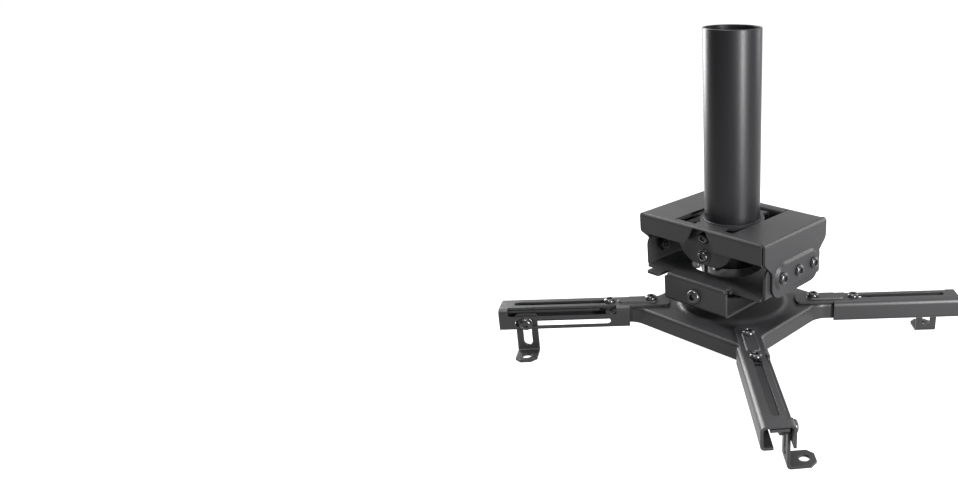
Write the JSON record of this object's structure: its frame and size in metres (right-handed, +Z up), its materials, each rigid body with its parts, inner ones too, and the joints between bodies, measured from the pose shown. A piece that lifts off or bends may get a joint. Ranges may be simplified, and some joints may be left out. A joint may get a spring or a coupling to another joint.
{
  "type": "projector mount",
  "caption": "Black ceiling projector mount: pole, tilting and rolling head, turning spider plate and four slotted arms with sliding feet",
  "frame": {"origin": "On the pole's axis, level with the undersides of the feet, in the middle of the footprint", "axes": "+Z up along the pole, +X across the head towards a tilt bolt side, +Y towards the rear roll bolts"},
  "size_m": [0.3364, 0.3082, 0.2886],
  "materials": {
    "coated_sheet": "satin",
    "pole_steel": "satin",
    "dark_fasteners": "gloss",
    "friction_washer": "matte"
  },
  "bodies": {
    "pole_body": {"pole": "pole_steel", "yoke_web": "coated_sheet", "yoke_ear_front": "coated_sheet", "yoke_ear_back": "coated_sheet"},
    "housing_body": {"housing_right": "coated_sheet", "housing_left": "coated_sheet", "housing_front": "coated_sheet", "housing_back": "coated_sheet", "roll_pivot_bolts": "dark_fasteners", "roll_lock_bolts": "dark_fasteners", "roll_lock_washers": "dark_fasteners", "roll_nuts": "dark_fasteners", "tilt_pivot_bolts": "dark_fasteners", "tilt_lock_bolts": "dark_fasteners", "tilt_nuts": "dark_fasteners"},
    "cradle_body": {"cradle_right": "coated_sheet", "cradle_left": "coated_sheet", "cradle_front": "coated_sheet", "cradle_back": "coated_sheet", "swivel_bracket": "coated_sheet", "lock_screw": "dark_fasteners", "swivel_bolt": "dark_fasteners", "swivel_washer": "friction_washer", "swivel_nut": "dark_fasteners"},
    "spider_body": {"spider": "coated_sheet", "swing_bolts": "dark_fasteners", "swing_nuts": "dark_fasteners"},
    "arm_right": {"arm_rail_right": "coated_sheet", "arm_wall_right": "coated_sheet", "arm_backing_right": "coated_sheet", "guide_bolt_right": "dark_fasteners"},
    "clamp_right": {"clamp_bolt_right": "dark_fasteners", "clamp_nut_right": "dark_fasteners"},
    "foot_body_right": {"foot_right": "coated_sheet", "foot_leg_right": "coated_sheet"},
    "arm_back": {"arm_rail_back": "coated_sheet", "arm_wall_back": "coated_sheet", "arm_backing_back": "coated_sheet", "guide_bolt_back": "dark_fasteners"},
    "clamp_back": {"clamp_bolt_back": "dark_fasteners", "clamp_nut_back": "dark_fasteners"},
    "foot_body_back": {"foot_back": "coated_sheet", "foot_leg_back": "coated_sheet"},
    "arm_left": {"arm_rail_left": "coated_sheet", "arm_wall_left": "coated_sheet", "arm_backing_left": "coated_sheet", "guide_bolt_left": "dark_fasteners"},
    "clamp_left": {"clamp_bolt_left": "dark_fasteners", "clamp_nut_left": "dark_fasteners"},
    "foot_body_left": {"foot_left": "coated_sheet", "foot_leg_left": "coated_sheet"},
    "arm_front": {"arm_rail_front": "coated_sheet", "arm_wall_front": "coated_sheet", "arm_backing_front": "coated_sheet", "guide_bolt_front": "dark_fasteners"},
    "clamp_front": {"clamp_bolt_front": "dark_fasteners", "clamp_nut_front": "dark_fasteners"},
    "foot_body_front": {"foot_front": "coated_sheet", "foot_leg_front": "coated_sheet"}
  },
  "joints": [
    {"name": "head_roll", "type": "hinge", "parent": "pole_body", "child": "housing_body", "pos_m": [0, 0, 0.1148], "axis": [0, 1, 0], "range_deg": [-10, 10]},
    {"name": "head_tilt", "type": "hinge", "parent": "housing_body", "child": "cradle_body", "pos_m": [0, 0, 0.0911], "axis": [1, 0, 0], "range_deg": [-10, 10]},
    {"name": "spider_swivel", "type": "hinge", "parent": "cradle_body", "child": "spider_body", "pos_m": [0, 0, 0.043], "axis": [0, 0, 1], "continuous": true},
    {"name": "arm_swing_right", "type": "hinge", "parent": "spider_body", "child": "arm_right", "pos_m": [0.05698, 0.04953, 0.042], "axis": [0, 0, 1], "range_deg": [-5.1, 1.9]},
    {"name": "clamp_slide_right", "type": "slide", "parent": "arm_right", "child": "clamp_right", "axis": [0.7361, 0.6769, 0], "range_m": [-0.0565, 0.006]},
    {"name": "foot_height_right", "type": "slide", "parent": "clamp_right", "child": "foot_body_right", "axis": [0, 0, 1], "range_m": [-0.002, 0.019]},
    {"name": "arm_swing_back", "type": "hinge", "parent": "spider_body", "child": "arm_back", "pos_m": [-0.05698, 0.04953, 0.042], "axis": [0, 0, 1], "range_deg": [-0.7, 6.3]},
    {"name": "clamp_slide_back", "type": "slide", "parent": "arm_back", "child": "clamp_back", "axis": [-0.7218, 0.6921, 0], "range_m": [-0.062, 0.0005]},
    {"name": "foot_height_back", "type": "slide", "parent": "clamp_back", "child": "foot_body_back", "axis": [0, 0, 1], "range_m": [-0.002, 0.019]},
    {"name": "arm_swing_left", "type": "hinge", "parent": "spider_body", "child": "arm_left", "pos_m": [-0.05698, -0.04953, 0.042], "axis": [0, 0, 1], "range_deg": [-5.1, 1.9]},
    {"name": "clamp_slide_left", "type": "slide", "parent": "arm_left", "child": "clamp_left", "axis": [-0.7361, -0.6769, 0], "range_m": [-0.0565, 0.006]},
    {"name": "foot_height_left", "type": "slide", "parent": "clamp_left", "child": "foot_body_left", "axis": [0, 0, 1], "range_m": [-0.002, 0.019]},
    {"name": "arm_swing_front", "type": "hinge", "parent": "spider_body", "child": "arm_front", "pos_m": [0.05698, -0.04953, 0.042], "axis": [0, 0, 1], "range_deg": [-0.7, 6.3]},
    {"name": "clamp_slide_front", "type": "slide", "parent": "arm_front", "child": "clamp_front", "axis": [0.7218, -0.6921, 0], "range_m": [-0.062, 0.0005]},
    {"name": "foot_height_front", "type": "slide", "parent": "clamp_front", "child": "foot_body_front", "axis": [0, 0, 1], "range_m": [-0.002, 0.019]}
  ]
}
